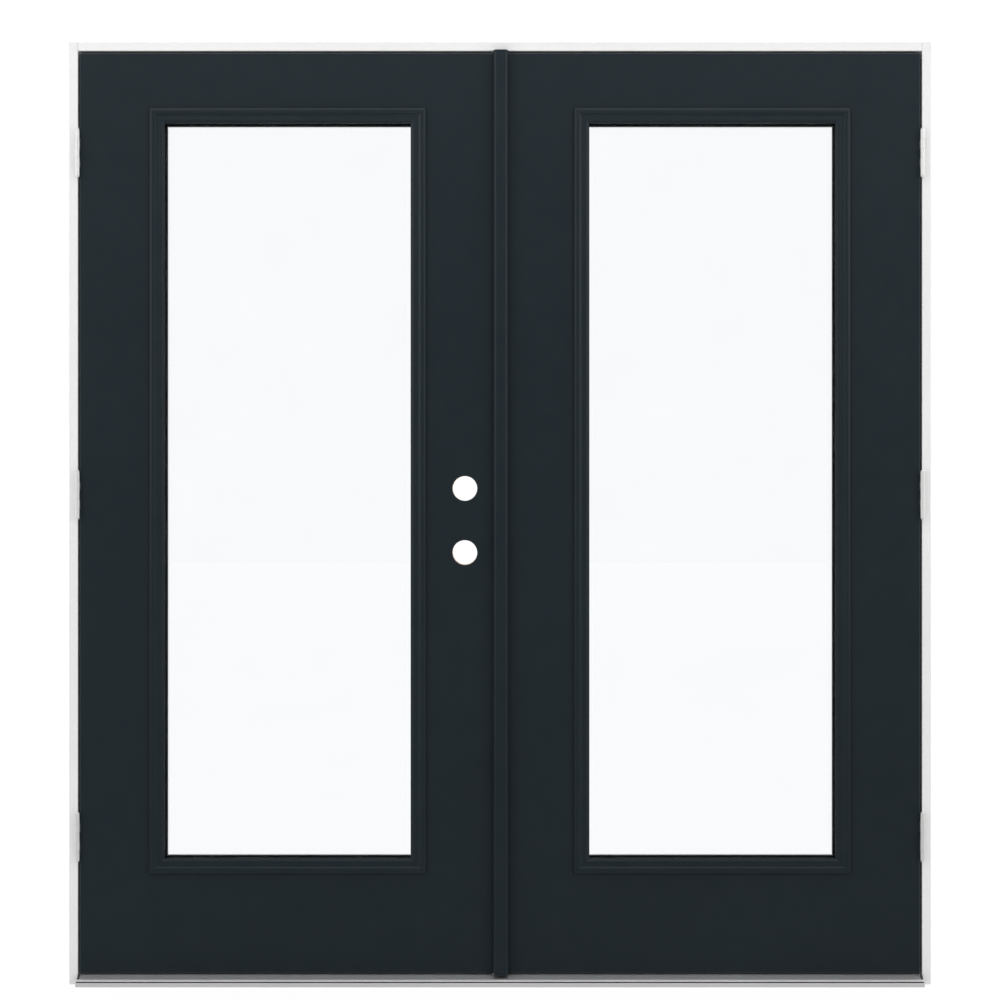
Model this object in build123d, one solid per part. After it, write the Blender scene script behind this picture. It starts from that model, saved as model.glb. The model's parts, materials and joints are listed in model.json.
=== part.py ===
from build123d import *
import os
from math import atan, cos, degrees, hypot, pi, radians, tan

# Outswing pair of full-lite french doors with their frame.
# Millimetres, x to the right seen from outside, y into the building, z up.
# The origin is on the floor, in the middle of the unit; y = 0 is the inside face of the closed leaves.

# Unit
unit_width = 1873.0
unit_height = 2048.0
jamb_depth = 116.0
jamb_thickness = 19.0
stop_thickness = 12.7
stop_gap = 12.5
jamb_ease = 1.0

# Leaves
leaf_thickness = 44.5
hinge_gap = 4.2
head_gap = 5.0
floor_gap = 3.6
meeting_gap = 2.0
edge_bevel = 3.0
skin_thickness = 1.6
skin_ease = 1.1
most_of_wall = 0.7
hinge_stile_width = 38.0
lock_stile_width = 30.0
rail_height = 40.0

# Lite: the glass opening and its two moulded frames
lite_from_lock_edge = 178.3
lite_from_hinge_edge = 185.5
lite_from_top = 153.7
lite_from_bottom = 251.4
lite_frame_width = 34.5
lite_frame_lap = 17.0
lite_leg_wall = 2.2
lite_fit = 1.0
lite_meeting_gap = 0.2
outer_edge_height = 1.8
crown_inset_width = 9.0
crown_height = 8.0
valley_inset_width = 19.5
valley_height = 4.9
inner_crown_inset_width = 27.6
inner_crown_height = 7.4
throat_inset_width = 33.1
throat_height = 0.8
outer_swell_height = 2.0
crown_swell_height = 0.2
valley_swell_height = 0.4
throat_swell_height = 1.75
glass_depth = 10.6
pane_thickness = 3.2
pane_cover = 13.0
spacer_width = 8.0

# Lock prep in the active leaf
bore_radius = 27.0
bore_backset = 60.3
bore_spacing = 139.7
latch_height = 914.4
edge_bore_radius = 12.7
edge_bore_sides = 16
faceplate_height = 57.0
faceplate_width = 25.4
faceplate_depth = 3.2
lock_block_width = 80.0
lock_block_end_length = 80.0
strike_bore_depth = 17.0

# Astragal on the passive leaf
astragal_width = 30.4
astragal_bevel = 1.5
nose_half_width = 16.0
nose_projection = 17.5
nose_round = 8.0
nose_overhang = 1.6
nose_top_rise = 4.8
nose_bottom_drop = 2.0
seal_setback = 4.6
seal_kerf_depth = 6.0
seal_kerf_width = 2.4
seal_thickness = 1.7
seal_width = 5.0
astragal_screw_count = 6
astragal_screw_end = 100.0
astragal_screw_setback = 15.5
astragal_screw_bury = 20.0

# Flush bolts
bolt_radius = 4.75
bolt_fit = 0.07
bolt_length = 280.0
bolt_setback = 30.5
bolt_retract = 1.0
bolt_throw = 18.0
bolt_hole_radius = 6.3
lug_height = 20.0
lug_thickness = 5.6
lug_recess = 1.8
slot_fit = 0.4
bolt_way_sides = 12

# Hinges
hinge_height = 101.6
hinge_from_bottom = 297.5
hinge_from_top = 217.5
plate_thickness = 2.2
plate_depth = 30.5
knuckle_radius = 6.0
knuckle_sides = 12
seat_sides = 8
knuckle_count = 5
knuckle_gap = 0.3
axis_inset = 0.2
axis_outset = 7.0
pin_radius = 3.0
pin_fit = 0.06
pin_seat = 0.02
pin_tip_radius = 4.9
pin_tip_height = 2.5
pin_tip_sides = 12
screw_rows = (-38.0, -13.0, 13.0, 38.0)
screw_columns = (9.5, 21.5)
screw_radius = 2.0
screw_head_radius = 4.1
screw_head_height = 1.8
screw_length = 16.0
screw_sides = 6
screw_fit = 0.1

# Sill
sill_projection = 27.0
deck_wall = 1.8
groove_bottom = 8.8
groove_height = 2.4
groove_depth = 6.5
groove_wall = 1.5
lip_height = 14.6
lip_depth = 11.0
lip_step = 1.3
lip_round = 0.8
deck_height = 20.4
deck_slope_end = 2.0
deck_end_gap = 1.0
sill_stop_height = 17.6
sill_stop_round = 4.0

# Weatherstrips: a bulb with a leg in a kerf
strip_clear = 0.5
strip_width = 10.5
strip_inset = 1.0
strip_round = 4.0
strip_leg = 2.4
strip_leg_depth = 9.0
kerf_width = 2.8
kerf_depth = 10.0
kerf_inset = 3.0
sill_kerf_drop = 8.0
sweep_setback = 22.0
sweep_depth = 20.0
sweep_base = 2.0
sweep_fin = 1.2
sweep_fins = 3
sweep_clear = 0.8
sweep_end_gap = 1.0

# Strike plate in the head
plate_length = 60.0
plate_width = 25.4
strike_thickness = 1.6

# Planes worked out from the sizes above
face_y = -leaf_thickness
inside_y = face_y + jamb_depth
nose_y = face_y - sill_projection
unit_edge = unit_width / 2
rabbet_x = unit_edge - jamb_thickness
stop_x = rabbet_x - stop_thickness
rabbet_z = unit_height - jamb_thickness
head_stop_z = rabbet_z - stop_thickness
leaf_edge = rabbet_x - hinge_gap
leaf_top = rabbet_z - head_gap
leaf_bottom = deck_height + floor_gap
half_meeting = (astragal_width + meeting_gap) / 2
sill_stop_top = deck_height + sill_stop_height
core_out_y = face_y + skin_thickness
core_in_y = -skin_thickness
middle_y = face_y / 2

sight_x0 = half_meeting + lite_from_lock_edge
sight_x1 = leaf_edge - lite_from_hinge_edge
sight_z0 = leaf_bottom + lite_from_bottom
sight_z1 = leaf_top - lite_from_top
cut_margin = lite_frame_width - lite_frame_lap
bore_x = half_meeting + bore_backset
latch_z = leaf_bottom + latch_height
bore_levels = (latch_z, latch_z + bore_spacing)

low_hinge = leaf_bottom + hinge_from_bottom
high_hinge = leaf_top - hinge_from_top
hinge_heights = {"bottom": low_hinge, "middle": (low_hinge + high_hinge) / 2, "top": high_hinge}
axis_x = rabbet_x - axis_inset
axis_y = face_y - axis_outset
knuckle_height = hinge_height / knuckle_count
astragal_left = half_meeting - astragal_width
nose_x = half_meeting + nose_overhang - nose_half_width
bolt_x = half_meeting - astragal_width / 2
bolt_y = face_y + bolt_setback

os.makedirs("parts", exist_ok=True)


def block(x0, x1, y0, y1, z0, z1):
    """A box between two opposite corners."""
    middle = Pos((x0 + x1) / 2, (y0 + y1) / 2, (z0 + z1) / 2)
    return middle * Box(x1 - x0, y1 - y0, z1 - z0)


def prism(outline, z0, z1):
    """A plan outline of (x, y) points, raised from z0 to z1."""
    face = make_face(Polyline(*outline, close=True))
    return Pos(0, 0, z0) * extrude(face, z1 - z0, dir=(0, 0, 1))


def bar(face, x0, x1):
    """A section drawn in (y, z), drawn out along x from x0 to x1."""
    return Pos(x0, 0, 0) * extrude(Plane.YZ * face, x1 - x0, dir=(1, 0, 0))


def rod_z(x, y, z0, z1, radius):
    return Pos(x, y, (z0 + z1) / 2) * Cylinder(radius, z1 - z0)


def few_sided(radius, sides, z0, z1):
    """A round piece drawn with a few flats, for what is repeated many times."""
    return Pos(0, 0, z0) * extrude(RegularPolygon(radius, sides), z1 - z0, dir=(0, 0, 1))


def rod_y(x, z, y0, y1, radius):
    return Pos(x, (y0 + y1) / 2, z) * Rot(X=90) * Cylinder(radius, y1 - y0)


def over_flats(radius, sides):
    """The corner radius of a few-sided hole whose flats clear a round piece of that radius."""
    return radius / cos(pi / sides)


def group(pieces):
    return Compound(children=list(pieces))


def at_hinges(*pieces):
    """The same pieces at each of a leaf's three hinges."""
    return group(Pos(0, 0, z) * piece for z in hinge_heights.values() for piece in pieces)


def on_left(shape):
    """Everything is drawn on the right; the left side is its mirror image."""
    return mirror(shape, about=Plane.YZ)


def lock_edge(y):
    """The bevelled meeting edge of a leaf at depth y."""
    return half_meeting + (y - face_y) * tan(radians(edge_bevel))


def write(name, shape):
    shape.label = name
    export_step(shape, f"parts/{name}.step")


# Hinges

def plate(x0, x1, clear=0.0):
    """A hinge leaf's square-cornered plate, or with clear its mortise."""
    half = hinge_height / 2 + clear
    return block(x0, x1, face_y, face_y + plate_depth + clear, -half, half)


def countersunk(way, grow=0.0):
    """A flat-head screw from the origin along +x or -x, or with grow the hole for it."""
    taper = degrees(atan((screw_head_radius - screw_radius) / screw_head_height))
    rim = RegularPolygon(screw_head_radius + grow, screw_sides)
    head = extrude(rim, screw_head_height, taper=taper)
    shank = few_sided(screw_radius + grow, screw_sides, 0, screw_length)
    return Rot(Y=90 * way) * (head + shank)


def screws(x, way, grow=0.0):
    """The screws of one plate, or with grow the holes for them."""
    screw = countersunk(way, grow)
    for index, z in enumerate(screw_rows):
        y = face_y + screw_columns[index % 2]
        yield Pos(x, y, z) * screw


def knuckles(own):
    """Knuckle spans of one plate; own is 0 for the frame's and 1 for the door's."""
    for index in range(own, knuckle_count, 2):
        low = -hinge_height / 2 + index * knuckle_height
        gap_below = knuckle_gap / 2 if index > 0 else 0
        gap_above = knuckle_gap / 2 if index < knuckle_count - 1 else 0
        yield low + gap_below, low + knuckle_height - gap_above


def hinge_leaf(x0, x1, own, way, fit):
    """One half of a butt hinge, centred on z = 0: its plate from x0 to x1, bored to that fit on the pin."""
    solid = plate(x0, x1)
    for low, high in knuckles(own):
        solid += block(x0, x1, axis_y, face_y, low, high)
        solid += Pos(axis_x, axis_y, 0) * few_sided(knuckle_radius, knuckle_sides, low, high)
    bore = few_sided(over_flats(pin_radius + fit, seat_sides), seat_sides, -hinge_height, hinge_height)
    solid -= Pos(axis_x, axis_y, 0) * bore
    exposed = x0 if way > 0 else x1
    for hole in screws(exposed, way, screw_fit):
        solid -= hole
    return solid


def frame_hinge_leaf():
    """The frame's half, whose knuckles hold the pin still."""
    return hinge_leaf(rabbet_x, rabbet_x + plate_thickness, 0, 1, pin_seat)


def door_hinge_leaf():
    """The door's half, whose knuckles turn on the pin."""
    return hinge_leaf(leaf_edge - plate_thickness, leaf_edge, 1, -1, pin_fit)


def hinge_pin():
    """A pin with a button tip at each end."""
    half = hinge_height / 2
    tip = few_sided(pin_tip_radius, pin_tip_sides, half, half + pin_tip_height)
    pin = Pos(axis_x, axis_y, 0) * (tip + mirror(tip, about=Plane.XY))
    return pin + rod_z(axis_x, axis_y, -half, half, pin_radius)


# Weatherstrip section and its kerf

def strip_section(foot, clear_line, seat_line):
    """Bulb and kerf leg, seen along the strip: across from foot, and deep from the leaf to the stop."""
    across = foot + strip_inset
    bulb = Rectangle(strip_width, seat_line - clear_line)
    bulb = Pos(across + strip_width / 2, (clear_line + seat_line) / 2) * bulb
    bulb = fillet(bulb.vertices().group_by(Axis.Y)[0], strip_round)
    leg_middle = foot + kerf_inset + kerf_width / 2
    leg = Pos(leg_middle, seat_line + strip_leg_depth / 2) * Rectangle(strip_leg, strip_leg_depth)
    return bulb + leg


# Frame

def jamb():
    """Side jamb: rabbeted board, kerfed in its stop, mortised for three hinges."""
    board = block(rabbet_x, unit_edge, face_y, inside_y, 0, unit_height)
    front_edges = board.edges().filter_by(Axis.Z).group_by(Axis.Y)[0]
    board = chamfer(front_edges, jamb_ease)
    stop = block(stop_x, rabbet_x, stop_gap, inside_y, deck_height, rabbet_z)
    stop_edges = stop.edges().filter_by(Axis.Z).group_by(Axis.X)[0]
    board += chamfer(stop_edges, jamb_ease)
    kerf_x = rabbet_x - kerf_inset
    board -= block(kerf_x - kerf_width, kerf_x, stop_gap, stop_gap + kerf_depth, deck_height, rabbet_z)
    mortise = plate(rabbet_x, rabbet_x + plate_thickness, screw_fit)
    for z in hinge_heights.values():
        board -= Pos(0, 0, z) * mortise
    return board


def head_jamb():
    """Head between the side jambs, with the top bolt's strike let in."""
    board = block(-rabbet_x, rabbet_x, face_y, inside_y, rabbet_z, unit_height)
    front_edges = board.edges().filter_by(Axis.X).group_by(Axis.Y)[0]
    board = chamfer(front_edges, jamb_ease)
    stop = block(-stop_x, stop_x, stop_gap, inside_y, head_stop_z, rabbet_z)
    stop_edges = stop.edges().filter_by(Axis.X).group_by(Axis.Z)[0]
    board += chamfer(stop_edges, jamb_ease)
    kerf_z = rabbet_z - kerf_inset
    board -= block(-stop_x, stop_x, stop_gap, stop_gap + kerf_depth, kerf_z - kerf_width, kerf_z)
    board -= strike_blank(screw_fit)
    board -= rod_z(bolt_x, bolt_y, rabbet_z, unit_height - strike_thickness, bolt_hole_radius)
    return board


def strike_blank(clear=0.0):
    half_length = plate_length / 2 + clear
    half_width = plate_width / 2 + clear
    return block(
        bolt_x - half_length, bolt_x + half_length, bolt_y - half_width, bolt_y + half_width,
        rabbet_z, rabbet_z + strike_thickness,
    )


def head_strike_plate():
    return strike_blank() - rod_z(bolt_x, bolt_y, rabbet_z, unit_height, bolt_hole_radius)


def deck_line():
    """Top of the deck behind its lip: where it starts, where it turns level, and where it ends."""
    start = (nose_y + lip_depth, lip_height - lip_step)
    level = (face_y + deck_slope_end, deck_height)
    return start, level, (inside_y, deck_height)


def deck_top(y):
    """Height of the deck's top at depth y."""
    (y0, z0), (y1, z1), end = deck_line()
    share = min(1, max(0, (y - y0) / (y1 - y0)))
    return z0 + share * (z1 - z0)


def bolt_way():
    """The bottom bolt's hole through the deck and into the base."""
    return rod_z(bolt_x, bolt_y, deck_wall, deck_height + bolt_throw, bolt_hole_radius)


def deck_underside():
    """The deck's underside, from its inside edge round the groove to the nose's foot."""
    start, level, end = deck_line()
    under_lip = start[1] - deck_wall
    behind_groove = nose_y + groove_depth + groove_wall
    under_groove = groove_bottom - groove_wall
    return [
        (end[0], end[1] - deck_wall),
        (level[0], level[1] - deck_wall),
        (start[0], under_lip),
        (behind_groove, under_lip),
        (behind_groove, under_groove),
        (nose_y + deck_wall, under_groove),
        (nose_y + deck_wall, 0),
    ]


def sill_deck():
    """Aluminium deck: grooved nose, raised lip, slope, level shelf."""
    start, level, end = deck_line()
    outline = [
        (nose_y, 0),
        (nose_y, groove_bottom),
        (nose_y + groove_depth, groove_bottom),
        (nose_y + groove_depth, groove_bottom + groove_height),
        (nose_y, groove_bottom + groove_height),
        (nose_y, lip_height),
        (start[0], lip_height),
        start,
        level,
        end,
    ]
    section = make_face(Polyline(*outline, *deck_underside(), close=True))
    lip_corners = section.vertices().filter_by_position(Axis.Y, lip_height, lip_height)
    section = fillet(lip_corners, lip_round)
    length = rabbet_x - deck_end_gap
    return bar(section, -length, length) - bolt_way()


def sill_base():
    """Composite base filling the deck from below."""
    section = make_face(Polyline(*deck_underside(), (inside_y, 0), close=True))
    return bar(section, -rabbet_x, rabbet_x) - bolt_way()


def sill_stop():
    """Inner bumper that the leaves close against, kerfed for its weatherstrip."""
    solid = block(-stop_x, stop_x, stop_gap, inside_y, deck_height, sill_stop_top)
    top_edges = solid.edges().filter_by(Axis.X).group_by(Axis.Z)[-1]
    solid = fillet(top_edges, sill_stop_round)
    kerf_z = sill_stop_top - sill_kerf_drop
    return solid - block(-stop_x, stop_x, stop_gap, stop_gap + kerf_depth, kerf_z, kerf_z + kerf_width)


def side_weatherstrip():
    """Runs up the jamb's rabbet from the deck to the head."""
    section = mirror(strip_section(-rabbet_x, strip_clear, stop_gap), about=Plane.YZ)
    return Pos(0, 0, deck_height) * extrude(section, rabbet_z - deck_height, dir=(0, 0, 1))


def head_weatherstrip():
    """Fits between the side weatherstrips."""
    section = strip_section(-rabbet_z, strip_clear, stop_gap)
    turned = Plane(origin=(0, 0, 0), x_dir=(0, 0, -1), z_dir=(1, 0, 0)) * section
    return Pos(-stop_x, 0, 0) * extrude(turned, 2 * stop_x, dir=(1, 0, 0))


def sill_weatherstrip():
    """Stands against the bottom of the closed leaves."""
    foot = sill_stop_top - sill_kerf_drop - kerf_inset
    section = strip_section(foot, strip_clear, stop_gap)
    turned = Plane(origin=(0, 0, 0), x_dir=(0, 0, 1), z_dir=(-1, 0, 0)) * section
    return Pos(stop_x, 0, 0) * extrude(turned, 2 * stop_x, dir=(-1, 0, 0))


# Leaves, drawn for the right side

def lite_opening(y0, y1):
    """The cut-out that both lite frames reach through."""
    return block(
        sight_x0 - cut_margin, sight_x1 + cut_margin, y0, y1,
        sight_z0 - cut_margin, sight_z1 + cut_margin,
    )


def hinge_mortises():
    solid = plate(leaf_edge - plate_thickness, leaf_edge, screw_fit)
    return [Pos(0, 0, z) * solid for z in hinge_heights.values()]


def skin(y0, y1, outer_y, bored):
    """One moulded face sheet, its four outer edges eased."""
    outline = [(lock_edge(y0), y0), (leaf_edge, y0), (leaf_edge, y1), (lock_edge(y1), y1)]
    sheet = prism(outline, leaf_bottom, leaf_top)
    ease = min(skin_ease, skin_thickness * most_of_wall)
    rim = sheet.faces().filter_by(Axis.Y).sort_by(Axis.Y)[0 if outer_y < middle_y else -1].edges()
    sheet = chamfer(rim, ease)
    sheet -= lite_opening(y0, y1)
    for mortise in hinge_mortises():
        sheet -= mortise
    if bored:
        for z in bore_levels:
            sheet -= rod_y(bore_x, z, y0, y1, bore_radius)
    return sheet


def hinge_stile():
    solid = block(leaf_edge - hinge_stile_width, leaf_edge, core_out_y, core_in_y, leaf_bottom, leaf_top)
    for mortise in hinge_mortises():
        solid -= mortise
    return solid


def lock_stile(holes=()):
    inner = half_meeting + lock_stile_width
    outline = [
        (lock_edge(core_out_y), core_out_y), (inner, core_out_y),
        (inner, core_in_y), (lock_edge(core_in_y), core_in_y),
    ]
    solid = prism(outline, leaf_bottom, leaf_top)
    for hole in holes:
        solid -= hole
    return solid


def rail(z0, z1):
    inner = half_meeting + lock_stile_width
    return block(inner, leaf_edge - hinge_stile_width, core_out_y, core_in_y, z0, z1)


def lock_block_span():
    low = bore_levels[0] - lock_block_end_length
    high = bore_levels[1] + lock_block_end_length
    inner = half_meeting + lock_stile_width
    return inner, inner + lock_block_width, low, high


def lock_block():
    """Solid wood behind the lock stile, bored for the lock."""
    x0, x1, low, high = lock_block_span()
    solid = block(x0, x1, core_out_y, core_in_y, low, high)
    for hole in lock_bores():
        solid -= hole
    return solid


def edge_bore(z, x0, x1):
    """A latch bore along x, in the middle of the leaf's thickness."""
    bore = few_sided(edge_bore_radius, edge_bore_sides, 0, x1 - x0)
    return Pos(x0, middle_y, z) * Rot(Y=90) * bore


def lock_bores():
    """Cross bores, edge bores and faceplate mortises of the lock prep."""
    for z in bore_levels:
        yield rod_y(bore_x, z, face_y, 0, bore_radius)
        yield edge_bore(z, half_meeting - faceplate_depth, bore_x)
        yield block(
            half_meeting - faceplate_depth, lock_edge(middle_y) + faceplate_depth,
            middle_y - faceplate_width / 2, middle_y + faceplate_width / 2,
            z - faceplate_height / 2, z + faceplate_height / 2,
        )


def foam_core(with_block):
    inner = half_meeting + lock_stile_width
    solid = block(
        inner, leaf_edge - hinge_stile_width, core_out_y, core_in_y,
        leaf_bottom + rail_height, leaf_top - rail_height,
    )
    solid -= lite_opening(face_y, 0)
    if with_block:
        x0, x1, low, high = lock_block_span()
        solid -= block(x0, x1, core_out_y, core_in_y, low, high)
    return solid


def swollen(start, end, rise):
    """An arc from start to end whose middle stands off the chord by rise."""
    across = end[0] - start[0]
    up = end[1] - start[1]
    share = rise / hypot(across, up)
    middle = ((start[0] + end[0]) / 2 - share * up, (start[1] + end[1]) / 2 + share * across)
    return ThreePointArc(start, middle, end)


def lite_section():
    """Moulding of the lite frame: x from its outer edge inwards, y out of the leaf's face."""
    leg = lite_frame_lap + lite_fit
    leg_back = leg + lite_leg_wall
    leg_end = (lite_meeting_gap - leaf_thickness) / 2
    foot = (0, outer_edge_height)
    crown = (crown_inset_width, crown_height)
    valley = (valley_inset_width, valley_height)
    inner_crown = (inner_crown_inset_width, inner_crown_height)
    throat = (throat_inset_width, throat_height)
    moulding = Polyline((leg, 0), (0, 0), foot)
    moulding += swollen(foot, crown, outer_swell_height)
    moulding += swollen(crown, valley, crown_swell_height)
    moulding += swollen(valley, inner_crown, valley_swell_height)
    moulding += swollen(inner_crown, throat, throat_swell_height)
    moulding += Polyline(
        throat, (lite_frame_width, -glass_depth), (leg_back, -glass_depth),
        (leg_back, leg_end), (leg, leg_end), (leg, 0),
    )
    return make_face(moulding)


def lite_frame():
    """The moulding run round the opening with mitred corners, out of the outside face."""
    x0 = sight_x0 - lite_frame_width
    x1 = sight_x1 + lite_frame_width
    z0 = sight_z0 - lite_frame_width
    z1 = sight_z1 + lite_frame_width
    start = Plane(origin=(x0, face_y, (z0 + z1) / 2), x_dir=(1, 0, 0), z_dir=(0, 0, 1))
    path = Wire.make_polygon(
        [(x0, face_y, (z0 + z1) / 2), (x0, face_y, z1), (x1, face_y, z1), (x1, face_y, z0), (x0, face_y, z0)],
        close=True,
    )
    section = start * mirror(lite_section(), about=Plane.XZ)
    return sweep(section, path=path, transition=Transition.RIGHT)


def inner_side(shape):
    """The same piece turned to the leaf's inside face."""
    return mirror(shape, about=Plane.XZ.offset(-middle_y))


def pane_ring(inset, y0, y1):
    reach = pane_cover - inset
    return block(sight_x0 - reach, sight_x1 + reach, y0, y1, sight_z0 - reach, sight_z1 + reach)


def panes():
    outer_y = face_y + glass_depth
    inner_y = -glass_depth
    outer = pane_ring(0, outer_y, outer_y + pane_thickness)
    inner = pane_ring(0, inner_y - pane_thickness, inner_y)
    gap = (outer_y + pane_thickness, inner_y - pane_thickness)
    spacer = pane_ring(0, *gap) - pane_ring(spacer_width, *gap)
    return outer, inner, spacer


def sweep_strip():
    """Vinyl sweep under the leaf: a base with fins that stop just above the deck."""
    y0 = face_y + sweep_setback
    x0 = lock_edge(0) + sweep_end_gap
    x1 = leaf_edge - plate_thickness - sweep_end_gap
    solid = block(x0, x1, y0, y0 + sweep_depth, leaf_bottom - sweep_base, leaf_bottom)
    for index in range(sweep_fins):
        y = y0 + index * (sweep_depth - sweep_fin) / (sweep_fins - 1)
        low = deck_top(y + sweep_fin) + sweep_clear
        solid += block(x0, x1, y, y + sweep_fin, low, leaf_bottom - sweep_base)
    return solid


# Astragal and flush bolts, on the right leaf

def astragal_edge(y):
    return astragal_left + (y - face_y) * tan(radians(astragal_bevel))


def astragal_screw_levels():
    span = leaf_top - leaf_bottom - 2 * astragal_screw_end
    for index in range(astragal_screw_count):
        yield leaf_bottom + astragal_screw_end + index * span / (astragal_screw_count - 1)


def astragal_screw(z, grow=0.0):
    """A screw let into the post and driven through it into the lock stile, or with grow its hole."""
    y = face_y + astragal_screw_setback
    head_start = astragal_edge(y) + 2 * screw_head_height
    head_end = head_start + screw_head_height
    tip = lock_edge(y) + astragal_screw_bury
    mouth = astragal_left - meeting_gap if grow else head_start
    head = few_sided(screw_head_radius + grow, screw_sides, mouth, head_end)
    shank = few_sided(screw_radius + grow, screw_sides, head_end, tip)
    return Pos(0, y, z) * Rot(Y=90) * (head + shank)


def bolt(end, grow=0.0, travel=0.0):
    """A flush bolt at the top (1) or bottom (-1); with grow and travel, the hole and slot it slides in."""
    tip = leaf_top - bolt_retract if end > 0 else leaf_bottom + bolt_retract
    tail = tip - end * bolt_length
    lug_near = tail + end * lug_height / 2
    lug_far = lug_near + end * lug_height
    if grow:
        rod_end = tip + end * 2 * bolt_retract
        way_radius = over_flats(bolt_radius + grow, bolt_way_sides)
        way = few_sided(way_radius, bolt_way_sides, *sorted((tail - end * slot_fit, rod_end)))
        y_half = lug_thickness / 2 + slot_fit
        z_span = sorted((lug_near - end * slot_fit, lug_far + end * (travel + slot_fit)))
        slot = block(astragal_left - meeting_gap, bolt_x, bolt_y - y_half, bolt_y + y_half, *z_span)
        return Pos(bolt_x, bolt_y, 0) * way + slot
    rod = rod_z(bolt_x, bolt_y, *sorted((tail, tip)), bolt_radius)
    y_half = lug_thickness / 2
    lug_x = astragal_edge(bolt_y) + lug_recess
    return rod + block(lug_x, bolt_x, bolt_y - y_half, bolt_y + y_half, *sorted((lug_near, lug_far)))


def astragal():
    """Full-depth post with a round-cornered nose, bored for bolts, strikes, screws and its seal."""
    outline = [
        (astragal_left, face_y), (lock_edge(face_y), face_y),
        (lock_edge(0), 0), (astragal_edge(0), 0),
    ]
    solid = prism(outline, leaf_bottom, leaf_top)
    nose_section = Pos(nose_x, face_y - nose_projection / 2) * Rectangle(2 * nose_half_width, nose_projection)
    nose_section = fillet(nose_section.vertices().group_by(Axis.Y)[0], nose_round)
    nose_foot = leaf_bottom - nose_bottom_drop
    nose = extrude(nose_section, leaf_top + nose_top_rise - nose_foot, dir=(0, 0, 1))
    solid += Pos(0, 0, nose_foot) * nose
    kerf_y = face_y + seal_setback
    kerf_end = astragal_left + seal_kerf_depth
    outside_x = astragal_left - meeting_gap
    solid -= block(outside_x, kerf_end, kerf_y, kerf_y + seal_kerf_width, leaf_bottom, leaf_top)
    for z in bore_levels:
        solid -= edge_bore(z, outside_x, astragal_left + strike_bore_depth)
        solid -= block(
            outside_x, astragal_edge(middle_y) + faceplate_depth,
            middle_y - faceplate_width / 2, middle_y + faceplate_width / 2,
            z - faceplate_height / 2, z + faceplate_height / 2,
        )
    for end in (1, -1):
        solid -= bolt(end, bolt_fit, bolt_throw)
    for z in astragal_screw_levels():
        solid -= astragal_screw(z, screw_fit)
    return solid


def astragal_seal():
    """Leaf seal between the post and the active leaf's edge."""
    kerf_y = face_y + seal_setback
    kerf_end = astragal_left + seal_kerf_depth
    face_x = astragal_edge(kerf_y)
    leg = block(face_x, kerf_end, kerf_y, kerf_y + seal_kerf_width, leaf_bottom, leaf_top)
    fin = block(face_x - seal_thickness, face_x, kerf_y, kerf_y + seal_width, leaf_bottom, leaf_top)
    return leg + fin


# Frame nodes
write("head_jamb", head_jamb())
write("head_strike_plate", head_strike_plate())
write("sill_base", sill_base())
write("sill_deck", sill_deck())
write("sill_stop", sill_stop())
write("head_weatherstrip", head_weatherstrip())
write("sill_weatherstrip", sill_weatherstrip())

right_jamb = jamb()
right_strip = side_weatherstrip()
right_pins = at_hinges(hinge_pin())
frame_screws = at_hinges(*screws(rabbet_x, 1))
write("right_jamb", right_jamb)
write("left_jamb", on_left(right_jamb))
write("right_weatherstrip", right_strip)
write("left_weatherstrip", on_left(right_strip))
write("right_hinge_pins", right_pins)
write("left_hinge_pins", on_left(right_pins))
write("frame_hinge_screws", group([frame_screws, on_left(frame_screws)]))
frame_plate = frame_hinge_leaf()
for level, z in hinge_heights.items():
    write(f"right_frame_hinge_leaf_{level}", Pos(0, 0, z) * frame_plate)
    write(f"left_frame_hinge_leaf_{level}", on_left(Pos(0, 0, z) * frame_plate))

# Leaf nodes
outside_frame = lite_frame()
outer_pane, inner_pane, glass_spacer = panes()
shared = {
    "hinge_stile": hinge_stile(),
    "top_rail": rail(leaf_top - rail_height, leaf_top),
    "bottom_rail": rail(leaf_bottom, leaf_bottom + rail_height),
    "outer_lite_frame": outside_frame,
    "inner_lite_frame": inner_side(outside_frame),
    "outer_pane": outer_pane,
    "inner_pane": inner_pane,
    "glass_spacer": glass_spacer,
    "sweep": sweep_strip(),
    "hinge_screws": at_hinges(*screws(leaf_edge, -1)),
}
for name, shape in shared.items():
    write(f"passive_{name}", shape)
    write(f"active_{name}", on_left(shape))

door_plate = door_hinge_leaf()
for level, z in hinge_heights.items():
    write(f"passive_hinge_leaf_{level}", Pos(0, 0, z) * door_plate)
    write(f"active_hinge_leaf_{level}", on_left(Pos(0, 0, z) * door_plate))

write("active_exterior_skin", on_left(skin(face_y, core_out_y, face_y, True)))
write("active_interior_skin", on_left(skin(core_in_y, 0, 0, True)))
write("active_lock_stile", on_left(lock_stile(lock_bores())))
write("active_lock_block", on_left(lock_block()))
write("active_foam_core", on_left(foam_core(True)))
write("passive_exterior_skin", skin(face_y, core_out_y, face_y, False))
write("passive_interior_skin", skin(core_in_y, 0, 0, False))
write("passive_lock_stile", lock_stile())
write("passive_foam_core", foam_core(False))

# Astragal and bolts
write("astragal", astragal())
write("astragal_seal", astragal_seal())
write("astragal_screws", group(astragal_screw(z) for z in astragal_screw_levels()))
write("top_bolt", bolt(1))
write("bottom_bolt", bolt(-1))
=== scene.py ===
import json
from contextlib import contextmanager
from math import cos, pi, radians, sin

import bmesh
import bpy
from mathutils import Matrix, Vector


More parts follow.
